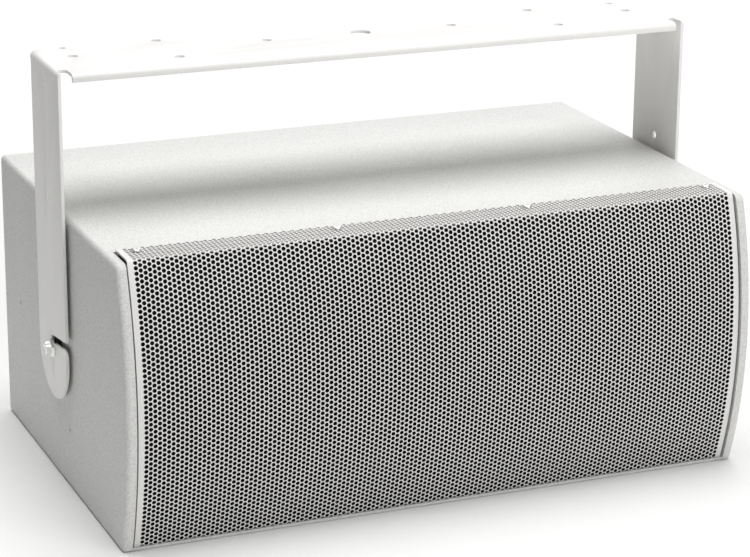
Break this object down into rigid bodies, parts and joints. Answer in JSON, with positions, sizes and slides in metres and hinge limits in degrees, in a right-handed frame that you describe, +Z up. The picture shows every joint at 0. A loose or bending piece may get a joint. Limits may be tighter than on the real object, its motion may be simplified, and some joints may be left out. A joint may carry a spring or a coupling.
{
  "type": "line array speaker",
  "caption": "Wide compact loudspeaker box with a bowed perforated metal grille, hung in a tilting flat steel U-bracket on side pivot bolts.",
  "frame": {"origin": "middle of the footprint, at the height of the cabinet's bottom face", "axes": "+X along the width, -Y out of the grille, +Z up"},
  "size_m": [0.5444, 0.345, 0.3414],
  "materials": {
    "textured_white_paint": "satin",
    "birch_plywood": "matte",
    "grille_powder_coat": "satin",
    "black_foam": "matte",
    "bracket_powder_coat": "satin",
    "painted_steel_screw": "satin",
    "washer_rubber": "matte",
    "zinc_plated_steel": "satin",
    "basket_casting": "matte",
    "cone_paper": "matte",
    "surround_rubber": "matte",
    "spider_cloth": "matte",
    "copper_winding": "satin",
    "ferrite_magnet": "matte",
    "motor_steel": "satin",
    "horn_plastic": "matte",
    "titanium_dome": "satin",
    "circuit_board": "satin",
    "capacitor_film": "gloss",
    "cement_resistor": "matte",
    "nylon_standoff": "satin",
    "lead_sheath": "satin",
    "polyester_wadding": "matte",
    "input_plate_paint": "satin",
    "socket_nylon": "satin"
  },
  "bodies": {
    "cabinet": {"left_side_panel": "textured_white_paint", "right_side_panel": "textured_white_paint", "top_panel": "textured_white_paint", "bottom_panel": "textured_white_paint", "rear_panel": "textured_white_paint", "front_baffle": "birch_plywood", "left_brace": "birch_plywood", "right_brace": "birch_plywood", "grille": "grille_powder_coat", "grille_foam": "black_foam", "grille_screws": "painted_steel_screw", "left_pivot_bolt": "painted_steel_screw", "right_pivot_bolt": "painted_steel_screw", "rigging_plug_screws": "painted_steel_screw", "spacer_washers": "washer_rubber", "pivot_inserts": "zinc_plated_steel", "rigging_inserts": "zinc_plated_steel", "woofer_screws": "zinc_plated_steel", "horn_screws": "zinc_plated_steel", "driver_bolts": "zinc_plated_steel", "input_plate_screws": "zinc_plated_steel", "left_woofer_basket": "basket_casting", "right_woofer_basket": "basket_casting", "crossover_inductors": "copper_winding", "left_woofer_magnet": "ferrite_magnet", "right_woofer_magnet": "ferrite_magnet", "driver_magnet": "ferrite_magnet", "left_woofer_top_plate": "motor_steel", "right_woofer_top_plate": "motor_steel", "left_woofer_pole_plate": "motor_steel", "right_woofer_pole_plate": "motor_steel", "driver_pole_plate": "motor_steel", "driver_top_plate": "motor_steel", "horn": "horn_plastic", "driver_rear_cover": "horn_plastic", "driver_spacer_ring": "horn_plastic", "crossover_board": "circuit_board", "crossover_capacitors": "capacitor_film", "crossover_resistors": "cement_resistor", "crossover_standoffs": "nylon_standoff", "internal_leads": "lead_sheath", "damping_wadding": "polyester_wadding", "input_plate": "input_plate_paint", "left_input_socket": "socket_nylon", "right_input_socket": "socket_nylon"},
    "bracket": {"u_bracket": "bracket_powder_coat"},
    "left_cone": {"left_woofer_cone": "cone_paper", "left_woofer_dust_cap": "cone_paper", "left_woofer_voice_coil": "copper_winding", "left_woofer_surround": "surround_rubber", "left_woofer_spider": "spider_cloth"},
    "right_cone": {"right_woofer_cone": "cone_paper", "right_woofer_dust_cap": "cone_paper", "right_woofer_voice_coil": "copper_winding", "right_woofer_surround": "surround_rubber", "right_woofer_spider": "spider_cloth"},
    "driver_dome": {"driver_diaphragm": "titanium_dome", "driver_voice_coil": "copper_winding", "driver_surround": "spider_cloth"}
  },
  "joints": [
    {"name": "bracket_tilt", "type": "hinge", "parent": "cabinet", "child": "bracket", "pos_m": [0, 0.0045, 0.112], "axis": [1, 0, 0], "continuous": true},
    {"name": "left_cone_travel", "type": "slide", "parent": "cabinet", "child": "left_cone", "axis": [0, -1, 0], "range_m": [-0.004, 0.004], "stiffness_N_per_m": 1500, "deforming": ["left_woofer_surround", "left_woofer_spider"]},
    {"name": "right_cone_travel", "type": "slide", "parent": "cabinet", "child": "right_cone", "axis": [0, -1, 0], "range_m": [-0.004, 0.004], "stiffness_N_per_m": 1500, "deforming": ["right_woofer_surround", "right_woofer_spider"]},
    {"name": "driver_dome_travel", "type": "slide", "parent": "cabinet", "child": "driver_dome", "axis": [0, -1, 0], "range_m": [-0.0003, 0.0003], "stiffness_N_per_m": 1500, "deforming": ["driver_surround"]}
  ]
}
